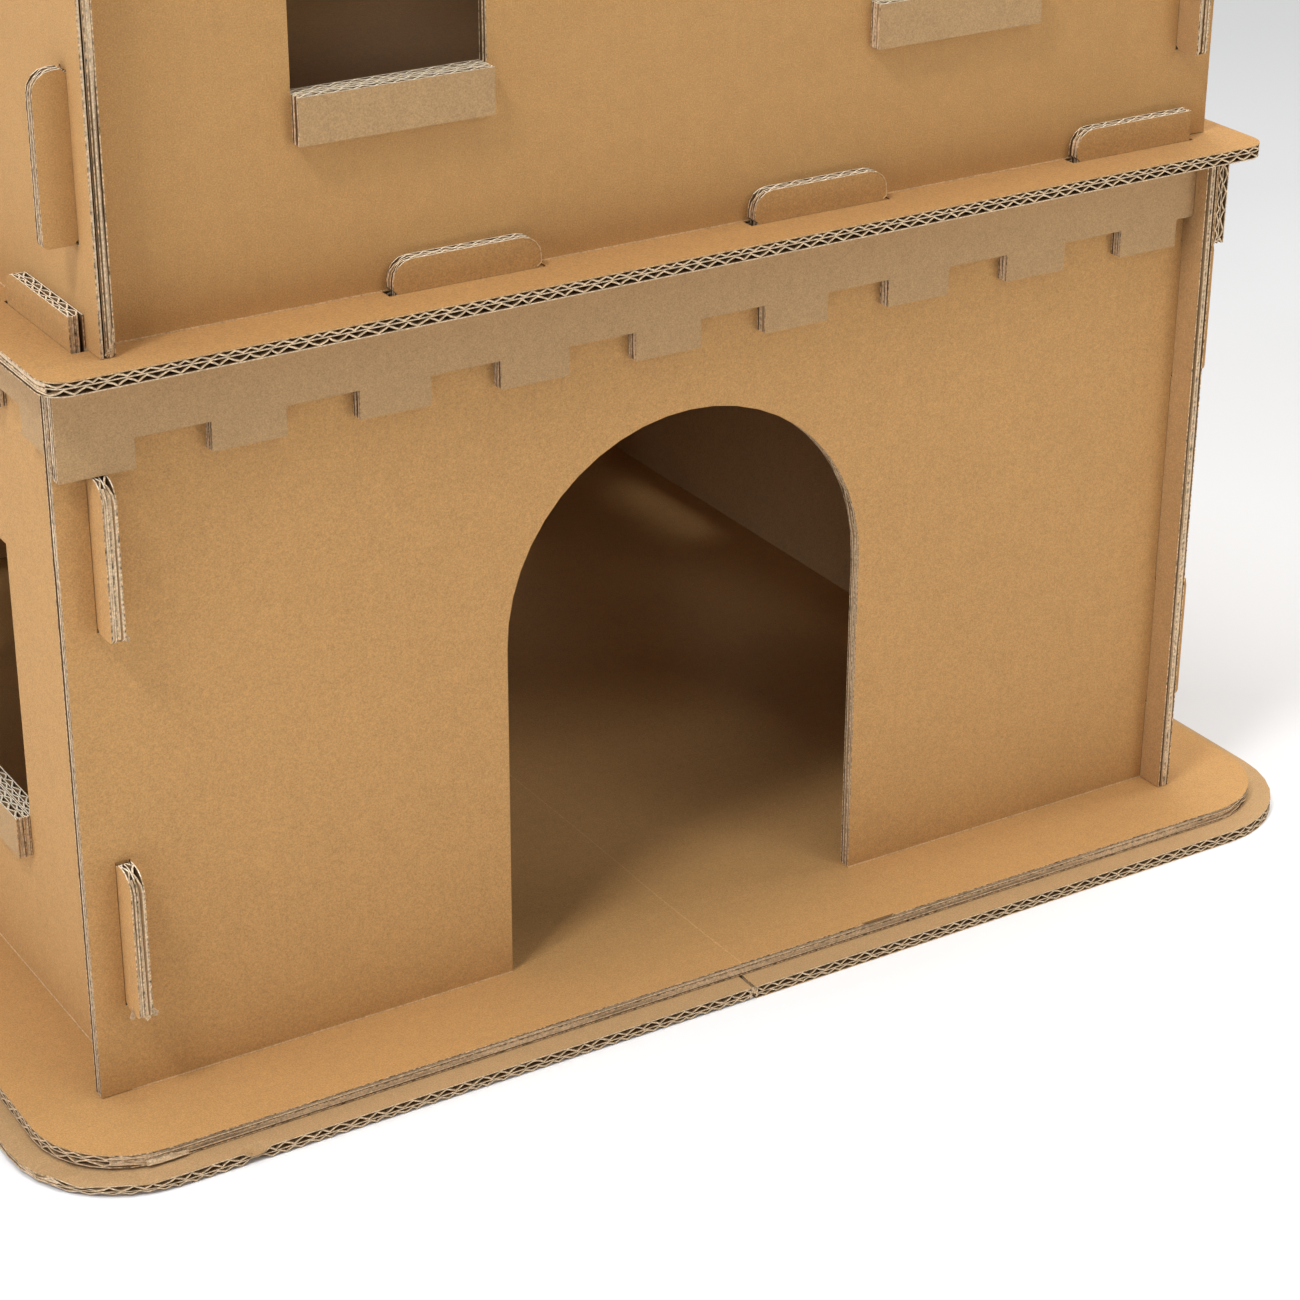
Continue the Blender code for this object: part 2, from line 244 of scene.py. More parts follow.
def keep_faces(thing, wanted):
    """Deletes every face but the wanted ones."""
    only(thing)
    bpy.ops.object.mode_set(mode="EDIT")
    bpy.ops.mesh.select_mode(type="FACE")
    bpy.ops.mesh.select_all(action="DESELECT")
    bpy.ops.object.mode_set(mode="OBJECT")
    for face in thing.data.polygons:
        face.select = not wanted(face)
    bpy.ops.object.mode_set(mode="EDIT")
    bpy.ops.mesh.delete(type="FACE")
    bpy.ops.object.mode_set(mode="OBJECT")


SPLIT_ROUNDS = 12
MANY_CUTS = 4


def split_edges(thing, longest):
    """Divides every edge into steps no longer than the given length."""
    only(thing)
    bpy.ops.object.mode_set(mode="EDIT")
    bpy.ops.mesh.select_mode(type="EDGE")
    bpy.ops.object.mode_set(mode="OBJECT")
    for _ in range(SPLIT_ROUNDS):
        ends = [[thing.data.vertices[i].co for i in edge.vertices] for edge in thing.data.edges]
        lengths = [(end - start).length for start, end in ends]
        if not lengths or max(lengths) < longest:
            break
        bpy.ops.object.mode_set(mode="EDIT")
        bpy.ops.mesh.select_all(action="DESELECT")
        bpy.ops.object.mode_set(mode="OBJECT")
        for edge, length in zip(thing.data.edges, lengths):
            edge.select = length > longest
        bpy.ops.object.mode_set(mode="EDIT")
        bpy.ops.mesh.subdivide(number_cuts=1 if max(lengths) < (MANY_CUTS + 1) * longest else MANY_CUTS)
        bpy.ops.object.mode_set(mode="OBJECT")


# The bare flute walls are pale torn fibre, and their colour is lightened further as painted light.
bare_paper = paper("bare_paper", (0.70, 0.51, 0.31), beads=0.35)
TEAR_STEP = 0.006
MEAN_TEAR = 0.45
SLOW_TEAR = 0.9
SLOW_TEAR_SCALE = 18.0
QUICK_TEAR = 0.3
QUICK_TEAR_SCALE = 220.0
LEAST_TEAR = 0.12
SIDE_CUT = 0.8


def bare_walls(node, golden, along, depth, row, recess):
    """The flutes' walls laid bare where a board is cut along them, set in a little and torn."""
    wall = layer(node, golden, depth, row)
    across = along.cross(golden)
    keep_faces(wall, lambda face: abs(face.normal.dot(across)) >= SIDE_CUT)
    split_edges(wall, TEAR_STEP)
    inward = [v.normal.copy() for v in wall.data.vertices]
    for vertex, normal in zip(wall.data.vertices, inward):
        slow = SLOW_TEAR * ripple.noise(vertex.co * SLOW_TEAR_SCALE)
        quick = QUICK_TEAR * ripple.noise(vertex.co * QUICK_TEAR_SCALE)
        vertex.co -= normal * recess * min(1.0, max(LEAST_TEAR, MEAN_TEAR + slow + quick))
    solid = wall.modifiers.new("paper", "SOLIDIFY")
    solid.thickness = FLUTING_THICKNESS
    solid.offset = -1.0
    bpy.ops.object.modifier_apply(modifier="paper")
    wall.data.materials.clear()
    # Pale torn fibre, lightened further as painted light.
    wall.data.materials.append(bare_paper)
    return wall


cut_paper = paper("cut_paper", (0.62, 0.46, 0.29), beads=0.8)
cut_liner = paper("cut_liner", (0.50, 0.32, 0.155), beads=1.0)
# Cut ends that face up get a much paler copy of the cut paper: a painted highlight.
painted_highlight_cut = paper("painted_highlight_cut", (0.96, 0.83, 0.62), beads=0.5)
blade_edge = paper("blade_edge", (0.50, 0.34, 0.19), beads=2.0)
fluting_paper = paper("fluting_paper", (0.34, 0.205, 0.092))
# Near-black paper for the liners' faces inside the board, the middle liner and under the blister: painted
# shade.
painted_shade_paper = paper("painted_shade_paper", (0.16, 0.085, 0.030))
LINER_FACE = 0.5
TOP_CUT = 0.7
TOP_CUT_FLUTING = 0.98


def paint(thing, golden, along, outer, inner=None, out=1, edge=None):
    """The sheet's own paper on its faces, painted shade on the liners' faces inside the board, and paler cut
    paper on its edges, with a painted highlight on the ends that face up.

    The edges cut along the flutes show the blade's teeth as dark beads.
    """
    across = along.cross(golden)
    thing.data.materials.clear()
    for material in (outer, edge or cut_paper, inner or outer, painted_highlight_cut, blade_edge):
        thing.data.materials.append(material)
    for face in thing.data.polygons:
        facing = face.normal.dot(golden) * out
        face.material_index = 0 if facing > LINER_FACE else 2 if facing < -LINER_FACE else 1
        steep = TOP_CUT_FLUTING if outer is fluting_paper else TOP_CUT
        if along.z and face.normal.z > steep:
            face.material_index = 3
        elif abs(face.normal.dot(across)) > SIDE_CUT and outer is not fluting_paper:
            face.material_index = 4


LINER_THICKNESS = 0.00050
SMALL_FLUTE_SHARE = 0.42
LARGE_FLUTE_PITCH = 0.0079
SMALL_RECESS = 0.0008
LARGE_RECESS = 0.0013
GLUED_GAP = 0.00012
USUAL_GAPS = (0.00036, 0.00105)


def corrugated(node, golden, along, faces, crush=1.0, gaps=USUAL_GAPS):
    """A whole board in place of a CAD sheet: three liners with two rows of flutes between them.

    The gaps are what stays open beside the bare flute walls, in the small row and in the large one.
    """
    chance = random.Random(node)
    low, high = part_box(node)
    thickness = abs(golden.dot(high - low))
    room = thickness - 3 * LINER_THICKNESS
    small_row = room * SMALL_FLUTE_SHARE
    large_row = room - small_row
    middle_liner = LINER_THICKNESS + small_row
    large_start = middle_liner + LINER_THICKNESS
    board = layer(node, golden, 0.0, LINER_THICKNESS)
    # The liners' faces inside the board and the whole middle liner take painted shade.
    paint(board, golden, along, faces[0], painted_shade_paper, 1, cut_liner)
    middle = layer(node, golden, middle_liner, LINER_THICKNESS)
    paint(middle, golden, along, painted_shade_paper)
    last = layer(node, golden, thickness - LINER_THICKNESS, LINER_THICKNESS)
    paint(last, golden, along, faces[1], painted_shade_paper, -1)
    small = fluting(node, golden, along, LINER_THICKNESS, small_row, SMALL_FLUTE_PITCH, chance, crush)
    paint(small, golden, along, fluting_paper)
    large = fluting(node, golden, along, large_start, large_row, LARGE_FLUTE_PITCH, chance, crush)
    paint(large, golden, along, fluting_paper)
    small_height = small_row - gaps[0] - GLUED_GAP
    small_wall = bare_walls(node, golden, along, LINER_THICKNESS + gaps[0], small_height, SMALL_RECESS)
    large_height = large_row - gaps[1] - GLUED_GAP
    large_wall = bare_walls(node, golden, along, large_start + GLUED_GAP, large_height, LARGE_RECESS)
    only(board)
    for sheet in (middle, last, small, large, small_wall, large_wall):
        sheet.select_set(True)
    bpy.ops.object.join()
    board.name = node + "_board"
    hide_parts(node)
    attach(board, "root")
    return board


plate_faces = liners(RIGHT)
halves = []
for node in ("base_lower_left", "base_lower_right"):
    board = corrugated(node, -UP, BACK, plate_faces)
    halves.append(board)

# Wear of the base's lower layer
# The front left corner of the left sheet is trodden flat in waves and its front edge has a pressed nick.
# The halves' seam gapes a little towards the front.

CRUSHED_CORNER = Vector((-0.300, -0.285))
CORNER_REACH = 0.052
CRUSH_DEPTH = 0.80
CRUSH_WAVES = Vector((110.0, 110.0, 400.0))
CRUSH_MEAN = 0.5
CRUSH_SWING = 0.8
NICK = Vector((-0.2286, -0.3105))
NICK_REACH = 0.0055
NICK_DEPTH = 1.5
NICK_STEPS = (-0.0060, -0.0040, -0.0022, -0.0010, 0.0, 0.0010, 0.0022, 0.0040, 0.0060)
FIRST_CUT = -0.304
CUT_STEP = 0.006
SEAM_GAPE = 0.00045
SEAM_REACH = 0.002
left_half = halves[0]
board_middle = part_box("base_lower_left")[1].z / 2
front_line = min(v.co.y for v in left_half.data.vertices)
places = [NICK.x + step for step in NICK_STEPS] + [FIRST_CUT + CUT_STEP * number for number in range(10)]
depths = [0.0010, 0.0022, 0.0040, 0.0060] + [0.010 + CUT_STEP * number for number in range(9)]
cuts = [(RIGHT * place, RIGHT) for place in places]
cuts += [(BACK * (front_line + depth), BACK) for depth in depths]
only(left_half)
bpy.ops.object.mode_set(mode="EDIT")
bpy.ops.mesh.select_mode(type="FACE")
for place, normal in cuts:
    bpy.ops.mesh.select_all(action="SELECT")
    bpy.ops.mesh.bisect(plane_co=place, plane_no=normal)
bpy.ops.object.mode_set(mode="OBJECT")
for vertex in left_half.data.vertices:
    spot = vertex.co.xy
    corner = max(0.0, 1.0 - (spot - CRUSHED_CORNER).length / CORNER_REACH) ** 0.5
    wavy = CRUSH_MEAN + CRUSH_SWING * ripple.noise(vertex.co * CRUSH_WAVES)
    nick = max(0.0, 1.0 - (spot - NICK).length / NICK_REACH)
    pressed = min(CRUSH_DEPTH, max(0.0, CRUSH_DEPTH * corner * wavy) + NICK_DEPTH * nick)
    vertex.co.z += (board_middle - vertex.co.z) * pressed
for half, side in zip(halves, (-1.0, 1.0)):
    for vertex in half.data.vertices:
        if abs(vertex.co.x) < SEAM_REACH:
            vertex.co.x += side * SEAM_GAPE * max(0.0, vertex.co.y / front_line)

# Base, upper layer
# One sheet of the same board, glued on the lower layer with its golden liner up and its flutes running
# left to right. It takes the lower walls' feet in slots.

BASE_GAPS = (0.0005, 0.0005)
base_faces = liners(BACK)
board = corrugated("base_upper", UP, RIGHT, base_faces, gaps=BASE_GAPS)

# Crease of the base's upper layer
# The sheet is scored from front to back along its middle, over the halves' seam. The ridge of paper beside
# the score is a raised strip, paler than the liner: partly rubbed paper, partly a painted highlight.

CREASE_WIDTH = 0.0009
CREASE_RISE = 0.00012
CREASE_DRIFT = 0.0006
CREASE_BENDS = 9.0
CREASE_STEPS = 120
CREASE_SHORT = 0.0006
CREASE_SUNK = 0.00002
CREASE_PAPER = 0.0001
crease_low, crease_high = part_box("base_upper")
bpy.ops.object.select_all(action="DESELECT")
bpy.ops.mesh.primitive_grid_add(x_subdivisions=2, y_subdivisions=CREASE_STEPS, size=1.0)
crease = bpy.context.object
crease.name = "base_crease"
for vertex in crease.data.vertices:
    along_share = vertex.co.y
    drift = CREASE_DRIFT * ripple.noise(BACK * (along_share * CREASE_BENDS))
    rise = CREASE_RISE if abs(vertex.co.x) < 0.1 else 0.0
    vertex.co.x = vertex.co.x * CREASE_WIDTH + drift
    vertex.co.y = along_share * (crease_high.y - crease_low.y - CREASE_SHORT)
    vertex.co.z = crease_high.z + rise - CREASE_SUNK
solid = crease.modifiers.new("paper", "SOLIDIFY")
solid.thickness = CREASE_PAPER
solid.offset = -1.0
only(crease)
bpy.ops.object.modifier_apply(modifier="paper")
# The strip's pale colour is partly rubbed paper and partly a painted highlight along the ridge.
crease.data.materials.append(paper("crease_wear_and_highlight", (0.56, 0.32, 0.125)))
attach(crease, "root")

# Lower walls
# Four sheets of the same board with upright flutes and the golden liner out: the front one with the arched
# doorway, the others with two windows. Each butts against the next, its tabs pushed through slots there.

INNER_FACE = (0.450, 0.262, 0.107)
LOWER_GAPS = {"left": (0.0002, 0.0014), "right": (0.0004, 0.0015)}
OUTWARD = {"front": -BACK, "right": RIGHT, "back": BACK, "left": -RIGHT}
wall_faces = liners(RIGHT + BACK, INNER_FACE, "inner")
for side, out in OUTWARD.items():
    gaps = LOWER_GAPS.get(side, USUAL_GAPS)
    board = corrugated("lower_wall_" + side, out, UP, wall_faces, gaps=gaps)

# Corbel strips
# One crenellated strip of board on each lower wall, glued on under the floor plate with the greyer liner
# out. The right-hand strip was cut with its flutes lengthwise, the others with upright flutes.

long_faces = liners(UP)
strip_faces = (wall_faces[0], paper("greyish_liner_xy", GREYISH, RIGHT + BACK))
for side, out in OUTWARD.items():
    if side == "right":
        board = corrugated("corbel_" + side, -out, BACK, long_faces)
    else:
        board = corrugated("corbel_" + side, -out, UP, strip_faces)

# Floor plate
# The sheet between the storeys, golden liner up, flutes front to back. The lower walls' top tabs stand
# through its slots.

board = corrugated("floor_plate", UP, BACK, plate_faces)

# Upper walls
# Four like sheets with upright flutes, each with two windows and a battlement, standing on the floor plate
# just inside the top tabs.

UPPER_LEFT_GAPS = (0.0016, 0.00010)
for side, out in OUTWARD.items():
    gaps = UPPER_LEFT_GAPS if side == "left" else USUAL_GAPS
    board = corrugated("upper_wall_" + side, out, UP, wall_faces, gaps=gaps)

# Window sills
# A short strip of board glued under every window, greyer liner out, its flutes upright. Its flutes are a
# little more crushed than those of the large sheets.

SILL_CRUSH = 1.25
SILL_GAPS = (0.0001, 0.0003)
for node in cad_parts:
    if node.startswith("sill_"):
        out = OUTWARD[node.split("_")[2]]
        board = corrugated(node, -out, UP, strip_faces, SILL_CRUSH, SILL_GAPS)

# Foot burrs
# The die leaves a pale burr of liner along each wall's lower edge, which hides the joint with the sheet
# below. It is left out across the doorway.

DOOR_HALF = 0.0850
BURR_RISE = 0.00045
BURR_PROUD = 0.00012
BURR_THICKNESS = 0.0003
BURR_RAGGED = 0.5
BURR_STEPS = 60
burr_paper = paper("burr_paper", (0.62, 0.42, 0.22), beads=0.5)
for storey, sheet_below in (("lower", "base_upper"), ("upper", "floor_plate")):
    half = -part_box(storey + "_wall_front")[0].y
    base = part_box(sheet_below)[1].z
    for side, out in OUTWARD.items():
        across = Vector((abs(out.y), abs(out.x), 0.0))
        spans = ((-half, half),)
        if (storey, side) == ("lower", "front"):
            spans = ((-half, -DOOR_HALF), (DOOR_HALF, half))
        for start, end in spans:
            bpy.ops.object.select_all(action="DESELECT")
            bpy.ops.mesh.primitive_grid_add(x_subdivisions=BURR_STEPS, y_subdivisions=1, size=1.0)
            burr = bpy.context.object
            burr.name = storey + "_wall_" + side + "_burr"
            for vertex in burr.data.vertices:
                share = vertex.co.x + 0.5
                ragged = 1.0 + BURR_RAGGED * ripple.noise(Vector((share * BURR_STEPS, out.x, out.y)))
                rise = BURR_RISE * ragged if vertex.co.y > 0.0 else 0.0
                spot = across * (start + (end - start) * share) + out * (half + BURR_PROUD)
                vertex.co = spot + UP * (base + rise)
            solid = burr.modifiers.new("paper", "SOLIDIFY")
            solid.thickness = BURR_THICKNESS
            solid.offset = 0.0
            only(burr)
            bpy.ops.object.modifier_apply(modifier="paper")
            burr.data.materials.append(burr_paper)
            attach(burr, "root")

# Slot flaps
# Above each side tab the slot is a little too long, as the tab's hooked head had to pass. A flap of liner
# folds back into that gap and closes it.

LOWER_FLAP = (-0.2532, -0.2545, 0.0)
LOWER_FLAP_LEVELS = (0.1132, 0.2732)
UPPER_FLAP = (0.2471, -0.2484, 0.0)
UPPER_FLAP_LEVELS = (0.4193, 0.5793)
FLAP_SIZE = (0.0056, 0.0024, 0.0016)
FOLD_RADIUS = 0.0003


def soften(thing):
    """Rounds every edge as folded paper is."""
    only(thing)
    bpy.ops.object.mode_set(mode="EDIT")
    bpy.ops.mesh.select_all(action="SELECT")
    bpy.ops.mesh.bevel(offset=FOLD_RADIUS, segments=2)
    bpy.ops.object.mode_set(mode="OBJECT")


for storey, place, levels in (
    ("lower", LOWER_FLAP, LOWER_FLAP_LEVELS),
    ("upper", UPPER_FLAP, UPPER_FLAP_LEVELS),
):
    bpy.ops.object.select_all(action="DESELECT")
    bpy.ops.mesh.primitive_cube_add(size=1.0)
    flap = bpy.context.object
    flap.data.transform(Matrix.Translation(place) @ Matrix.Diagonal(FLAP_SIZE).to_4x4())
    soften(flap)
    flap.data.materials.append(wall_faces[0])
    for quarter in range(4):
        for level in levels:
            copy = bpy.data.objects.new("slot_flap_" + storey, flap.data.copy())
            bpy.context.scene.collection.objects.link(copy)
            copy.data.transform(Matrix.Translation((0.0, 0.0, level)))
            copy.data.transform(Matrix.Rotation(quarter * math.pi / 2, 4, "Z"))
            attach(copy, "root")
    bpy.data.objects.remove(flap)

# Rims of the floor plate's tabs
# The die bends the golden liner over at the right-hand end of each of the lower walls' top tabs, which shows
# as a pale rim. At its foot the slot's liner is pushed back against the tab.

TAB_CORNER = Vector((-0.0755, 0.3230))
TAB_RADIUS = 0.0080
TAB_STEP = math.radians(22.5)
TAB_TURN = math.radians(86.4)
TAB_UNDERSIDE = 0.3198
TAB_NECK = (-0.0690, 0.3186)
TAB_SPACING = 0.160
RIM_CENTRE = Vector((-0.0755, 0.3225))
RIM_SHARE = 0.05
RIM_PROUD = 0.0001
PLUG_PLACE = (-0.0672, -0.2532, 0.3152)
PLUG_SIZE = (0.0032, 0.0062, 0.0048)
rim_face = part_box("lower_wall_front")[0].y - RIM_PROUD
path = [Vector(TAB_NECK), Vector((TAB_CORNER.x + TAB_RADIUS, TAB_UNDERSIDE))]
for number in range(5):
    angle = min(TAB_STEP * number, TAB_TURN)
    path.append(TAB_CORNER + Vector((math.cos(angle), math.sin(angle))) * TAB_RADIUS)
bpy.ops.object.select_all(action="DESELECT")
bpy.ops.mesh.primitive_grid_add(x_subdivisions=len(path) - 1, y_subdivisions=1, size=1.0)
rim = bpy.context.object
for vertex in rim.data.vertices:
    spot = path[round((vertex.co.x + 0.5) * (len(path) - 1))]
    if vertex.co.y > 0.0:
        spot = spot.lerp(RIM_CENTRE, RIM_SHARE)
    vertex.co = Vector((spot.x, rim_face, spot.y))
solid = rim.modifiers.new("paper", "SOLIDIFY")
solid.thickness = BURR_THICKNESS
solid.offset = 0.0
only(rim)
bpy.ops.object.modifier_apply(modifier="paper")
rim.data.materials.append(burr_paper)
bpy.ops.object.select_all(action="DESELECT")
bpy.ops.mesh.primitive_cube_add(size=1.0)
plug = bpy.context.object
plug.data.transform(Matrix.Translation(PLUG_PLACE) @ Matrix.Diagonal(PLUG_SIZE).to_4x4())
soften(plug)
plug.data.materials.append(plate_faces[0])
for name, detail in (("tab_rim", rim), ("slot_plug", plug)):
    for quarter in range(4):
        for number in range(2):
            copy = bpy.data.objects.new(name, detail.data.copy())
            bpy.context.scene.collection.objects.link(copy)
            copy.data.transform(Matrix.Translation((TAB_SPACING * number, 0.0, 0.0)))
            copy.data.transform(Matrix.Rotation(quarter * math.pi / 2, 4, "Z"))
            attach(copy, "root")
    bpy.data.objects.remove(detail)

# Blister of the base's upper layer
# Right of the seam the golden liner's edge has come unglued from the small flutes. It stands up in a small
# blister, and a dark ellipsoid under it is painted shade for the gap underneath.

# The dark ellipsoid under the blister is painted shade.
BLISTER_SHADE_PLACE = (0.0706, -0.2994, 0.0117)
BLISTER_SHADE_SIZE = (0.0085, 0.0012, 0.0008)
BLISTER_PLACE = (0.0706, -0.2990, 0.0121)
BLISTER_SIZE = (0.0080, 0.0010, 0.0006)
for name, place, size, material in (
    ("edge_blister_shade", BLISTER_SHADE_PLACE, BLISTER_SHADE_SIZE, painted_shade_paper),
    ("edge_blister", BLISTER_PLACE, BLISTER_SIZE, base_faces[0]),
):
    bpy.ops.object.select_all(action="DESELECT")
    bpy.ops.mesh.primitive_uv_sphere_add(segments=24, ring_count=12, radius=1.0)
    blister = bpy.context.object
    blister.name = name
    blister.data.transform(Matrix.Translation(place) @ Matrix.Diagonal(size).to_4x4())
    blister.data.materials.append(material)
    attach(blister, "root")

# Torn scraps
# Where tabs were forced through slots and at the worn edges, shreds of paper stand out: each a small curled
# strip of liner, pale where it tore.

SCRAP_THICKNESS = 0.00035
SCRAP_TAPER = 0.6
SCRAP_TILT = Vector((0.3, -0.8, 0.5))
FRAY = 0.08
CRUMPLE = 0.00018
LEAST_CURL = 0.6
MOST_CURL = 1.2
SCRAPS = (
    ((-0.2503, -0.2668, 0.0520), (1.0, -0.3, -0.5), 0.0060, 0.0030),
    ((-0.2562, -0.2640, 0.0512), (-0.6, -0.5, -0.6), 0.0045, 0.0025),
    ((-0.2530, -0.2684, 0.0518), (0.4, -0.6, -0.6), 0.0035, 0.0030),
    ((-0.2503, -0.2668, 0.2118), (0.7, -0.3, -0.4), 0.0045, 0.0025),
    ((-0.2449, -0.2629, 0.3240), (0.1, 0.0, 1.0), 0.0100, 0.0013),
    ((-0.2463, -0.2630, 0.3212), (0.6, 0.0, 0.8), 0.0055, 0.0013),
    ((-0.2610, -0.3002, 0.0078), (1.0, -0.05, 0.0), 0.0170, 0.0024),
    ((0.0012, -0.3098, 0.0036), (-0.8, -0.3, 0.5), 0.0040, 0.0030),
)
scrap_paper = paper("scrap_paper", (0.56, 0.40, 0.235), beads=0.5)
scrap_chance = random.Random(7)
for number, (place, heading, length, width) in enumerate(SCRAPS):
    bpy.ops.object.select_all(action="DESELECT")
    bpy.ops.mesh.primitive_grid_add(x_subdivisions=8, y_subdivisions=3, size=1.0)
    scrap = bpy.context.object
    scrap.name = "torn_scrap_" + str(number)
    heading = Vector(heading).normalized()
    side = heading.cross(SCRAP_TILT).normalized()
    lift = heading.cross(side)
    curl = scrap_chance.uniform(LEAST_CURL, MOST_CURL)
    for vertex in scrap.data.vertices:
        share = vertex.co.x
        fray = 1.0 - SCRAP_TAPER * max(0.0, share) + scrap_chance.gauss(0.0, FRAY)
        rise = curl * share * share * width + scrap_chance.gauss(0.0, CRUMPLE)
        wide = vertex.co.y * width * fray
        vertex.co = Vector(place) + heading * share * length + side * wide + lift * rise
    solid = scrap.modifiers.new("paper", "SOLIDIFY")
    solid.thickness = SCRAP_THICKNESS
    solid.offset = 0.0
    only(scrap)
    bpy.ops.object.modifier_apply(modifier="paper")
    scrap.data.materials.append(scrap_paper)
    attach(scrap, "root")

# Roof plate
# A sheet like the floor plate, golden liner up, flutes front to back. It lies on the upper walls, and their
# merlons stand through its slots.

board = corrugated("roof_plate", UP, BACK, plate_faces)

# Studio
# A white floor, painted darker and pale grey towards the back as painted shade, that fades out into the white
# backdrop, soft lamps all round with the strongest ones high up, and the camera at the photograph's angle,
# above the castle's left front corner.

FLOOR_SIZE = 30.0
FLOOR_AWAY = (0.526, 0.850, 0.0)
FLOOR_NEAR = -0.20
FLOOR_FAR = 1.30
FLOOR_FADE_START = 1.6
FLOOR_FADE_END = 2.5
FLOOR_ROUGHNESS = 0.9
FLOOR_SHEEN = 0.1
# The tones darken the floor towards the back as painted shade. The first two tones go to the ramp's own two
# stops.
FLOOR_TONES = (
    (-0.14, 0.90),
    (1.28, 0.44),
    (-0.08, 0.74),
    (0.02, 0.62),
    (0.27, 0.62),
    (0.60, 0.57),
    (0.85, 0.48),
)
bpy.ops.object.select_all(action="DESELECT")
bpy.ops.mesh.primitive_plane_add(size=FLOOR_SIZE)
floor = bpy.context.object
floor.name = "studio_floor"
white = bpy.data.materials.new("studio_white")
white.use_nodes = True
nodes = white.node_tree.nodes
link = white.node_tree.links.new
shader = nodes["Principled BSDF"]
shader.inputs["Roughness"].default_value = FLOOR_ROUGHNESS
shader.inputs["Specular IOR Level"].default_value = FLOOR_SHEEN
place = nodes.new("ShaderNodeTexCoord").outputs["Object"]
away = nodes.new("ShaderNodeVectorMath")
away.operation = "DOT_PRODUCT"
away.inputs[1].default_value = FLOOR_AWAY
share = nodes.new("ShaderNodeMapRange")
share.inputs["From Min"].default_value = FLOOR_NEAR
share.inputs["From Max"].default_value = FLOOR_FAR
ramp = nodes.new("ShaderNodeValToRGB")
for number, (distance, tone) in enumerate(FLOOR_TONES):
    step = (distance - FLOOR_NEAR) / (FLOOR_FAR - FLOOR_NEAR)
    stop = ramp.color_ramp.elements[number] if number < 2 else ramp.color_ramp.elements.new(step)
    stop.position = step
    stop.color = (tone, tone, tone, 1.0)
link(place, away.inputs[0])
link(away.outputs["Value"], share.inputs["Value"])
link(share.outputs["Result"], ramp.inputs["Fac"])
link(ramp.outputs["Color"], shader.inputs["Base Color"])
radius = nodes.new("ShaderNodeVectorMath")
radius.operation = "LENGTH"
fade = nodes.new("ShaderNodeMapRange")
fade.inputs["From Min"].default_value = FLOOR_FADE_START
fade.inputs["From Max"].default_value = FLOOR_FADE_END
clear = nodes.new("ShaderNodeBsdfTransparent")
blend = nodes.new("ShaderNodeMixShader")
link(place, radius.inputs[0])
link(radius.outputs["Value"], fade.inputs["Value"])
link(fade.outputs["Result"], blend.inputs["Fac"])
link(shader.outputs["BSDF"], blend.inputs[1])
link(clear.outputs["BSDF"], blend.inputs[2])
link(blend.outputs["Shader"], nodes["Material Output"].inputs["Surface"])
floor.data.materials.append(white)

AMBIENT = 0.005
AMBIENT_COLOUR = (1.0, 0.99, 0.98, 1.0)
BACKDROP = 1.0
WHITE = (1.0, 1.0, 1.0)
COOL = (0.94, 1.0, 1.16)
world = bpy.data.worlds.new("studio_air")
bpy.context.scene.world = world
world.use_nodes = True
nodes = world.node_tree.nodes
link = world.node_tree.links.new
ambient = nodes["Background"]
ambient.inputs["Color"].default_value = AMBIENT_COLOUR
ambient.inputs["Strength"].default_value = AMBIENT
backdrop = nodes.new("ShaderNodeBackground")
backdrop.inputs["Color"].default_value = (*WHITE, 1.0)
backdrop.inputs["Strength"].default_value = BACKDROP
seen = nodes.new("ShaderNodeLightPath")
mirrored = nodes.new("ShaderNodeMath")
mirrored.operation = "MAXIMUM"
shown = nodes.new("ShaderNodeMath")
shown.operation = "MAXIMUM"
mix = nodes.new("ShaderNodeMixShader")
link(seen.outputs["Is Glossy Ray"], mirrored.inputs[0])
link(seen.outputs["Is Transmission Ray"], mirrored.inputs[1])
link(seen.outputs["Is Camera Ray"], shown.inputs[0])
link(mirrored.outputs["Value"], shown.inputs[1])
link(shown.outputs["Value"], mix.inputs["Fac"])
link(ambient.outputs["Background"], mix.inputs[1])
link(backdrop.outputs["Background"], mix.inputs[2])
link(mix.outputs["Shader"], nodes["World Output"].inputs["Surface"])


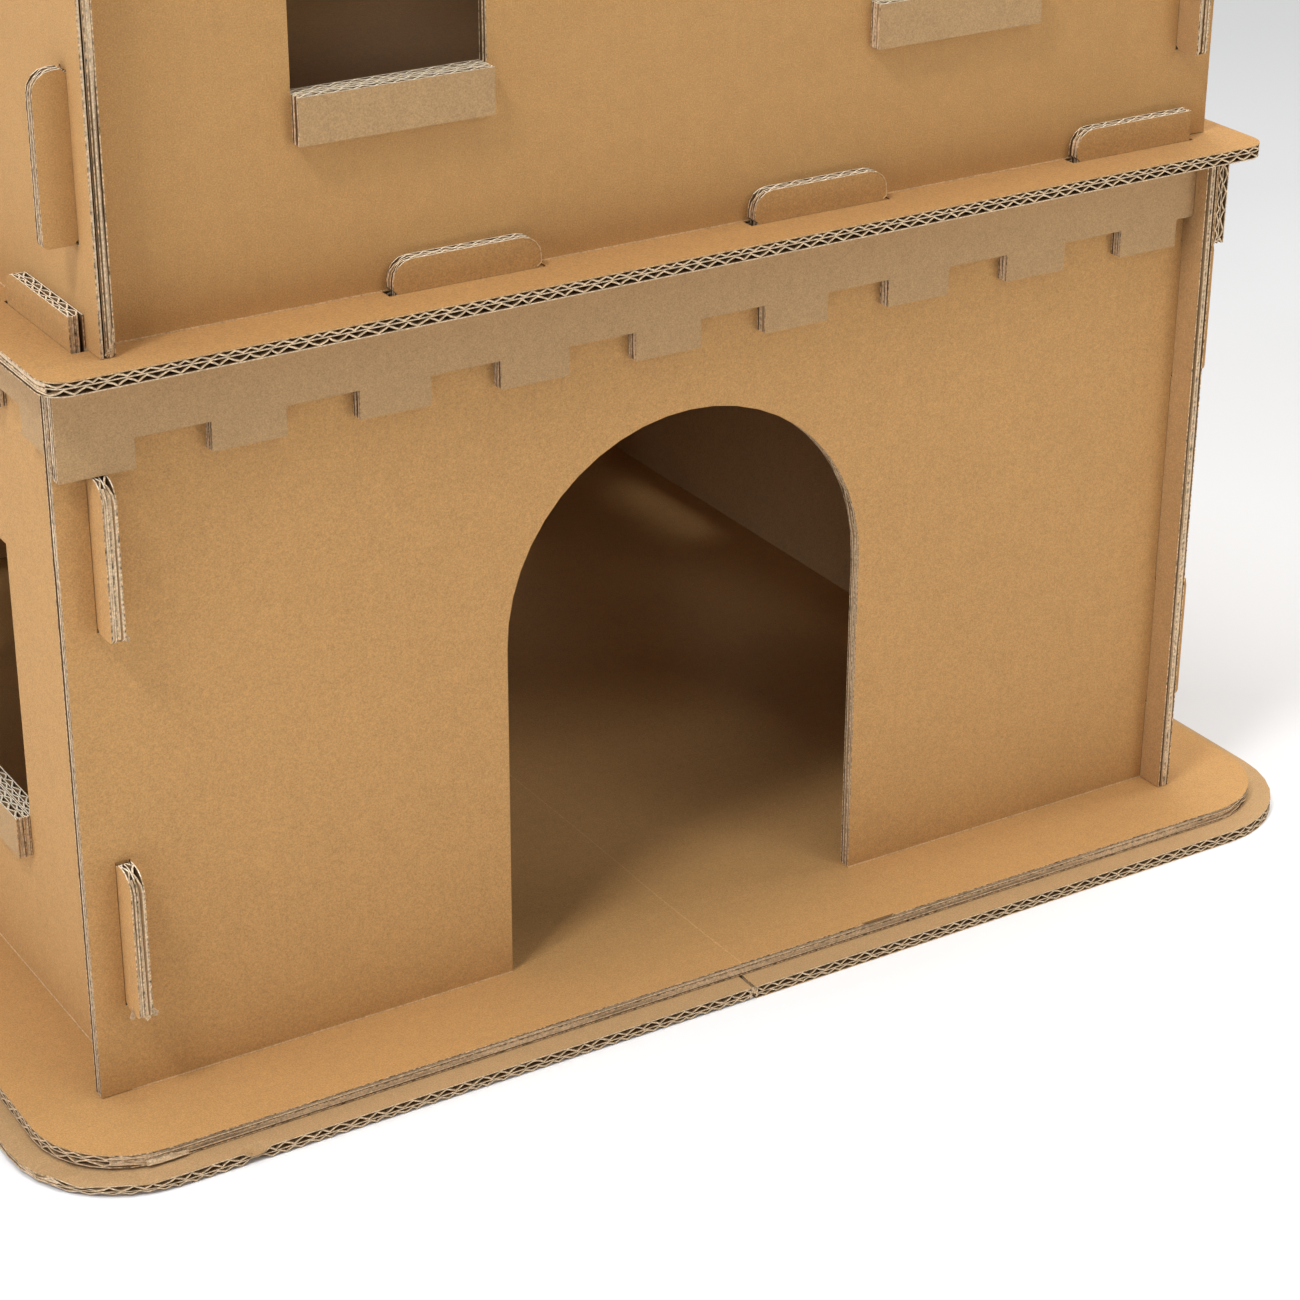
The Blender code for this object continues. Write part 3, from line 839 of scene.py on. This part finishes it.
def softbox(name, place, target, size, power, colour=WHITE):
    """A square lamp of the given size and watts, turned towards its target."""
    lamp = bpy.data.lights.new(name, "AREA")
    lamp.shape = "SQUARE"
    lamp.size = size
    lamp.energy = power
    lamp.color = colour
    thing = bpy.data.objects.new(name, lamp)
    bpy.context.scene.collection.objects.link(thing)
    thing.location = place
    thing.rotation_euler = (Vector(target) - Vector(place)).to_track_quat("-Z", "Y").to_euler()


softbox("key_lamp", (-1.65, -1.00, 2.70), (0.0, 0.0, 0.15), 0.55, 40.5)
softbox("high_front_lamp", (0.30, -2.20, 3.00), (0.0, 0.0, 0.3), 2.4, 23.0)
softbox("front_lamp", (1.30, -3.00, 1.10), (0.0, 0.0, 0.3), 1.2, 18.0)
softbox("top_lamp", (0.20, 0.20, 3.40), (0.0, 0.0, 0.3), 1.6, 124.0)
softbox("right_lamp", (3.00, -0.40, 1.50), (0.0, 0.0, 0.2), 1.2, 34.0)
softbox("left_lamp", (-3.00, 0.40, 1.30), (0.0, 0.0, 0.2), 1.2, 27.0, COOL)
softbox("left_front_lamp", (-3.00, -0.95, 1.00), (0.0, -0.1, 0.2), 0.8, 15.0, COOL)
softbox("back_lamp", (1.40, 3.00, 2.30), (0.1, -0.2, 0.2), 1.4, 24.0)

CAMERA_PLACE = (-0.6542, -1.2844, 0.7280)
CAMERA_YAW = 31.73
CAMERA_PITCH = 25.77
CAMERA_ROLL = 0.27
LENS = 90.8
SENSOR = 36.0
NEAREST = 0.05
camera_data = bpy.data.cameras.new("camera")
camera_data.lens = LENS
camera_data.sensor_width = SENSOR
camera_data.clip_start = NEAREST
camera = bpy.data.objects.new("camera", camera_data)
bpy.context.scene.collection.objects.link(camera)
turn = Matrix.Rotation(math.radians(-CAMERA_YAW), 4, "Z")
tilt = Matrix.Rotation(math.radians(90.0 - CAMERA_PITCH), 4, "X")
roll = Matrix.Rotation(math.radians(CAMERA_ROLL), 4, "Z")
camera.matrix_world = Matrix.Translation(CAMERA_PLACE) @ turn @ tilt @ roll
bpy.context.scene.camera = camera
bpy.context.scene.view_settings.view_transform = "Standard"
